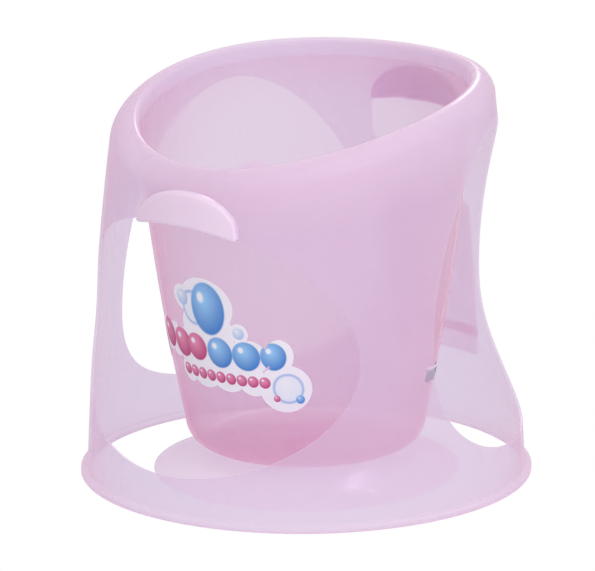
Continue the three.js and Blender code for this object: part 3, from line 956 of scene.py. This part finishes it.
def clear_plastic(
    name, body, deep, through, haze, back_haze, edge_haze, gloss, flow_scale, low_height,
    rim_haze=0.0, shine=0.3, bump=0.006):
    """Clear plastic: body and deep colour the haze, through tints the light that passes."""
    material, tree, output, place = blank_material(name)
    flow = group_node(tree, melt_flow, place, scale=flow_scale)
    grain = group_node(tree, fine_grain, place)
    scuff = group_node(tree, scuffs, place, height=0.02)
    inside = add_node(tree, "ShaderNodeNewGeometry").outputs["Backfacing"]
    slant = add_node(tree, "ShaderNodeLayerWeight", {"Blend": 0.5})
    edge = maths(tree, "POWER", slant.outputs["Facing"], 2.2)
    height = add_node(tree, "ShaderNodeSeparateXYZ", {0: place})
    # The colour turns deeper pink towards the bottom, fully at the floor and fading out at
    # low_height.
    deeper_low_down = fit_range(tree, height.outputs[2], 0, low_height, 0.5, 0)
    depth = maths(
        tree, "ADD", maths(tree, "MULTIPLY", flow.outputs["Cloud"], 0.3),
        maths(tree, "MULTIPLY", edge, 0.6))
    colour = mix_colour(tree, maths(tree, "ADD", depth, deeper_low_down, clamp=True), body, deep)
    colour = mix_colour(
        tree, maths(tree, "MULTIPLY", scuff.outputs["Scuff"], 0.3), colour, (0.9, 0.85, 0.9, 1))
    roughness = maths(tree, "ADD", gloss, maths(tree, "MULTIPLY", flow.outputs["Streak"], 0.05))
    roughness = maths(tree, "ADD", roughness, maths(tree, "MULTIPLY", scuff.outputs["Scuff"], 0.2))
    relief = add_node(
        tree, "ShaderNodeBump",
        {"Strength": bump, "Distance": 0.4 * mm, "Height": grain.outputs["Grain"]})
    surface = add_node(tree, "ShaderNodeBsdfPrincipled", {
        "Base Color": colour, "Roughness": roughness, "Normal": relief.outputs[0],
        "IOR": 1.49, "Specular IOR Level": shine})
    glow = add_node(
        tree, "ShaderNodeBsdfTranslucent", {"Color": colour, "Normal": relief.outputs[0]})
    glow_share = fit_range(tree, inside, 0, 1, 0.45, 1.0)
    hazed = add_node(
        tree, "ShaderNodeMixShader", {0: glow_share, 1: surface.outputs[0], 2: glow.outputs[0]})
    clear = add_node(tree, "ShaderNodeBsdfTransparent", {"Color": through})
    least = fit_range(tree, inside, 0, 1, haze, back_haze)
    rim = group_node(tree, rim_nearness, place, reach=0.075)
    share = maths(
        tree, "ADD", fit_range(tree, edge, 0, 1, least, edge_haze),
        maths(tree, "MULTIPLY", rim.outputs["Near"], rim_haze))
    share = maths(
        tree, "ADD", share, maths(tree, "MULTIPLY", scuff.outputs["Scuff"], 0.1), clamp=True)
    ray = add_node(tree, "ShaderNodeLightPath")
    kept = fit_range(tree, ray.outputs["Is Shadow Ray"], 0, 1, 1, SHADOW_SHARE)
    mixed = add_node(
        tree, "ShaderNodeMixShader",
        {0: maths(tree, "MULTIPLY", share, kept), 1: clear.outputs[0], 2: hazed.outputs[0]})
    tree.links.new(mixed.outputs[0], output.inputs["Surface"])
    return material


# %% The three clear finishes
stand_plastic = clear_plastic(
    "stand_plastic", (0.86, 0.76, 0.88, 1), (0.90, 0.68, 0.80, 1), (0.965, 0.95, 0.985, 1),
    haze=0.31, back_haze=0.16, edge_haze=0.7, gloss=0.26,
    flow_scale=6, low_height=0.03, rim_haze=0.3)
bucket_plastic = clear_plastic(
    "bucket_plastic", (0.86, 0.70, 0.80, 1), (0.92, 0.54, 0.68, 1), (0.965, 0.94, 0.975, 1),
    haze=0.31, back_haze=0.10, edge_haze=0.7, gloss=0.24,
    flow_scale=8, low_height=0.12, rim_haze=0.1)
cup_plastic = clear_plastic(
    "cup_plastic", (0.95, 0.86, 0.93, 1), (0.95, 0.80, 0.88, 1), (0.98, 0.96, 0.985, 1),
    haze=0.31, back_haze=0.10, edge_haze=0.5, gloss=0.07,
    flow_scale=10, low_height=0.01, shine=0.9, bump=0.004)


# %% [markdown]
# ## Grip plastic and films
# The grips are solid pale pink with a satin gloss. The films are printed: the large one and the
# strip hide what is behind them, the round one and the label let some of it show. The print is
# drawn by nodes on the film's own flat map, one unit for each ten centimetres, so it wraps with it.

# %% A surface with light under its skin
def lit_skin(tree, place, colour, roughness, grain, relief, glow_share, **settings):
    """Shader of a plastic or film: a gloss over the colour, and a share of light let through."""
    grain = group_node(tree, fine_grain, place, scale=grain)
    bump = add_node(tree, "ShaderNodeBump", {
        "Strength": relief[0], "Distance": relief[1] * mm, "Height": grain.outputs["Grain"]})
    surface = add_node(tree, "ShaderNodeBsdfPrincipled", {
        "Base Color": colour, "Roughness": roughness, "Normal": bump.outputs[0], **settings})
    glow = add_node(tree, "ShaderNodeBsdfTranslucent", {"Color": colour, "Normal": bump.outputs[0]})
    return add_node(
        tree, "ShaderNodeMixShader", {0: glow_share, 1: surface.outputs[0], 2: glow.outputs[0]})


def partly_clear(tree, skin, clear):
    """A share of plain see-through mixed into a shader."""
    through = add_node(tree, "ShaderNodeBsdfTransparent")
    return add_node(
        tree, "ShaderNodeMixShader", {0: clear, 1: skin.outputs[0], 2: through.outputs[0]})


# %% Grip plastic
def solid_plastic(name, body, deep, gloss):
    """Opaque moulded plastic with a little light under its skin."""
    material, tree, output, place = blank_material(name)
    flow = group_node(tree, melt_flow, place, scale=18.0)
    colour = mix_colour(tree, maths(tree, "MULTIPLY", flow.outputs["Cloud"], 0.6), body, deep)
    roughness = maths(tree, "ADD", gloss, maths(tree, "MULTIPLY", flow.outputs["Streak"], 0.08))
    skin = lit_skin(tree, place, colour, roughness, 900.0, (0.05, 0.3), 0.3, **{
        "Subsurface Weight": 0.25, "Subsurface Scale": 4 * mm,
        "Subsurface Radius": (1.0, 0.5, 0.8)})
    tree.links.new(skin.outputs[0], output.inputs["Surface"])
    return material


grip_plastic = solid_plastic("grip_plastic", (0.88, 0.76, 0.89, 1), (0.90, 0.72, 0.86, 1), 0.28)

# %% Printed film: bubbles
bubble_print = bpy.data.node_groups.new("bubble_print", "ShaderNodeTree")
for title in ("Centre X", "Centre Y", "Radius", "Stretch", "X", "Y"):
    bubble_print.interface.new_socket(title, in_out="INPUT", socket_type="NodeSocketFloat")
for title in ("Mask", "Depth", "Glint"):
    bubble_print.interface.new_socket(title, in_out="OUTPUT", socket_type="NodeSocketFloat")
entry = bubble_print.nodes.new("NodeGroupInput")
leave = bubble_print.nodes.new("NodeGroupOutput")


def bubble_distance(shift_x, shift_y):
    """Distance from a point near the bubble's centre, in bubble radii."""
    across = maths(bubble_print, "SUBTRACT", entry.outputs["X"], entry.outputs["Centre X"])
    up = maths(bubble_print, "SUBTRACT", entry.outputs["Y"], entry.outputs["Centre Y"])
    across = maths(
        bubble_print, "SUBTRACT", maths(bubble_print, "DIVIDE", across, entry.outputs["Radius"]),
        shift_x)
    up = maths(
        bubble_print, "DIVIDE", up,
        maths(bubble_print, "MULTIPLY", entry.outputs["Radius"], entry.outputs["Stretch"]))
    up = maths(bubble_print, "SUBTRACT", up, shift_y)
    squares = maths(
        bubble_print, "ADD", maths(bubble_print, "MULTIPLY", across, across),
        maths(bubble_print, "MULTIPLY", up, up))
    return maths(bubble_print, "SQRT", squares)


from_middle = bubble_distance(0.0, 0.0)
bubble_print.links.new(fit_range(bubble_print, from_middle, 0.96, 1.04, 1, 0), leave.inputs["Mask"])
bubble_print.links.new(
    fit_range(bubble_print, bubble_distance(-0.2, 0.35), 0.1, 1.3, 0, 1), leave.inputs["Depth"])
bubble_print.links.new(
    fit_range(bubble_print, bubble_distance(-0.35, 0.4), 0.14, 0.26, 1, 0), leave.inputs["Glint"])


# %% The film's material
def film_material(name, bubbles, base=(0.95, 0.95, 0.99, 1), band=None, clear=0.0):
    """White film with printed bubbles (x, y, radius, stretch, light, dark) and maybe a band."""
    material, tree, output, place = blank_material(name)
    flat = add_node(tree, "ShaderNodeUVMap", uv_map="print").outputs[0]
    split = add_node(tree, "ShaderNodeSeparateXYZ", {0: flat})
    x, y = split.outputs[0], split.outputs[1]
    colour = base
    if band:
        slope, low, high, light, dark = band
        level = maths(tree, "ADD", y, maths(tree, "MULTIPLY", x, slope))
        inside = fit_range(tree, level, high, high + 0.006, 1, 0)
        shade = mix_colour(tree, fit_range(tree, level, low, high, 0, 1), dark, light)
        colour = mix_colour(tree, inside, colour, shade)
    for centre_x, centre_y, radius, stretch, light, dark in bubbles:
        node = tree.nodes.new("ShaderNodeGroup")
        node.node_tree = bubble_print
        tree.links.new(x, node.inputs["X"])
        tree.links.new(y, node.inputs["Y"])
        node.inputs["Centre X"].default_value = centre_x / 100
        node.inputs["Centre Y"].default_value = centre_y / 100
        node.inputs["Radius"].default_value = radius / 100
        node.inputs["Stretch"].default_value = stretch
        shade = mix_colour(tree, node.outputs["Depth"], light, dark)
        shade = mix_colour(tree, node.outputs["Glint"], shade, (0.95, 0.97, 1, 1))
        colour = mix_colour(tree, node.outputs["Mask"], colour, shade)
    flow = group_node(tree, melt_flow, place, scale=20.0)
    worn = maths(tree, "MULTIPLY", flow.outputs["Streak"], 0.06)
    colour = mix_colour(tree, worn, colour, (0.8, 0.78, 0.84, 1))
    roughness = maths(tree, "ADD", 0.3, maths(tree, "MULTIPLY", flow.outputs["Cloud"], 0.12))
    skin = lit_skin(tree, place, colour, roughness, 500.0, (0.04, 0.2), 0.35)
    tree.links.new(partly_clear(tree, skin, clear).outputs[0], output.inputs["Surface"])
    return material


# %% The prints
PINK_LIGHT, PINK_DARK = (0.90, 0.36, 0.58, 1), (0.62, 0.05, 0.25, 1)
BLUE_LIGHT, BLUE_DARK = (0.40, 0.72, 0.98, 1), (0.06, 0.28, 0.72, 1)
PALE_LIGHT, PALE_DARK = (0.86, 0.92, 0.99, 1), (0.52, 0.66, 0.90, 1)
WHITE_PRINT = (0.93, 0.94, 0.98, 1)
row_of_bubbles = [(-44 + 12.5 * k, -30, 6, 1.0, PINK_LIGHT, PINK_DARK) for k in range(9)]
sticker_film = film_material(
    "sticker_film",
    [
        (-20, 38, 15, 1.2, PALE_DARK, PALE_DARK), (-20, 38, 12.5, 1.2, WHITE_PRINT, PALE_LIGHT),
        (-34, 46, 8, 1.0, PALE_LIGHT, PALE_DARK), (32, 19, 6, 1.0, PALE_LIGHT, PALE_DARK),
        (-1, 40, 20, 1.35, BLUE_LIGHT, BLUE_DARK),
        (-124, -22, 11, 1.0, PALE_LIGHT, PALE_DARK),
        (-108, -14, 15, 1.0, PINK_LIGHT, PINK_DARK), (-76, 0, 15, 1.0, PINK_LIGHT, PINK_DARK),
        (-46, -3, 15, 1.0, PINK_LIGHT, PINK_DARK), (-22, -3, 14, 1.0, PINK_LIGHT, PINK_DARK),
        (8, -4, 15, 1.05, BLUE_LIGHT, BLUE_DARK), (38, -4, 15, 1.0, BLUE_LIGHT, BLUE_DARK),
        (66, -2, 13, 1.1, BLUE_LIGHT, BLUE_DARK),
        (80, -35, 16, 1.0, PALE_DARK, PALE_DARK), (80, -35, 13.5, 1.0, WHITE_PRINT, PALE_LIGHT),
        (68, -46, 3.5, 1.0, PINK_LIGHT, PINK_DARK), (92, -46, 4.5, 1.0, BLUE_LIGHT, BLUE_DARK),
    ] + row_of_bubbles,
)
plain_film = film_material(
    "plain_film", [(0, 0, 19, 1.0, (0.95, 0.96, 0.99, 1), (0.90, 0.92, 0.98, 1))], clear=0.15)
strip_film = film_material(
    "strip_film", [],
    band=(STRIP_SLOPE, -0.075, 0.045, (0.30, 0.42, 0.52, 1), (0.10, 0.22, 0.34, 1)))

# %% Label film
label_film, tree, output, place = blank_material("label_film")
flat = add_node(tree, "ShaderNodeUVMap", uv_map="print").outputs[0]
split = add_node(tree, "ShaderNodeSeparateXYZ", {0: flat})
x, y = split.outputs[0], split.outputs[1]
lines = maths(tree, "FRACT", maths(tree, "MULTIPLY", y, 26.0))
line_mask = fit_range(tree, lines, 0.22, 0.30, 1, 0)
margin = fit_range(tree, maths(tree, "ABSOLUTE", x), 0.40, 0.42, 1, 0)
breaks = add_node(tree, "ShaderNodeTexNoise", {"Vector": flat, "Scale": 3.2, "Detail": 0.0})
gaps = fit_range(tree, breaks.outputs[0], 0.42, 0.46, 0, 1)
line_mask = maths(tree, "MULTIPLY", maths(tree, "MULTIPLY", line_mask, margin), gaps)
colour = mix_colour(
    tree, maths(tree, "MULTIPLY", line_mask, 0.22), (0.98, 0.90, 0.96, 1), (0.75, 0.50, 0.70, 1))
band = fit_range(tree, maths(tree, "ABSOLUTE", maths(tree, "ADD", y, 0.555)), 0.045, 0.055, 1, 0)
band = maths(tree, "MULTIPLY", band, fit_range(tree, x, 0.42, 0.43, 1, 0))
colour = mix_colour(tree, maths(tree, "MULTIPLY", band, 0.55), colour, (0.86, 0.42, 0.62, 1))
flow = group_node(tree, melt_flow, place, scale=20.0)
roughness = maths(tree, "ADD", 0.42, maths(tree, "MULTIPLY", flow.outputs["Cloud"], 0.12))
skin = lit_skin(tree, place, colour, roughness, 500.0, (0.04, 0.2), 0.5)
tree.links.new(partly_clear(tree, skin, 0.5).outputs[0], output.inputs["Surface"])
print("materials:", sorted(m.name for m in bpy.data.materials if m.use_nodes))

# %% [markdown]
# ## Putting the pieces on the frame
# Each finished piece takes the place of the plain solid of the same name. Everything rides on the
# tub except the suction cup, which pulls off downwards.

# %% Pieces, bodies and finishes
PIECES = [
    (stand, "stand", "tub", "stand_plastic", stand_plastic),
    (bucket, "bucket", "tub", "bucket_plastic", bucket_plastic),
    (front_grip, "front_grip", "tub", "grip_plastic", grip_plastic),
    (rear_grip, "rear_grip", "tub", "grip_plastic", grip_plastic),
    (cup, "suction_cup", "cup", "cup_plastic", cup_plastic),
    (front_sticker, "front_sticker", "tub", "sticker_film", sticker_film),
    (strip, "side_strip_sticker", "tub", "sticker_film", strip_film),
    (seal, "side_seal_sticker", "tub", "sticker_film", plain_film),
    (label, "instruction_label", "tub", "label_film", label_film),
]
for piece, node, body, slot_name, material in PIECES:
    piece.data.materials.clear()
    piece.data.materials.append(material)
    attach(piece, body)
    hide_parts(node)
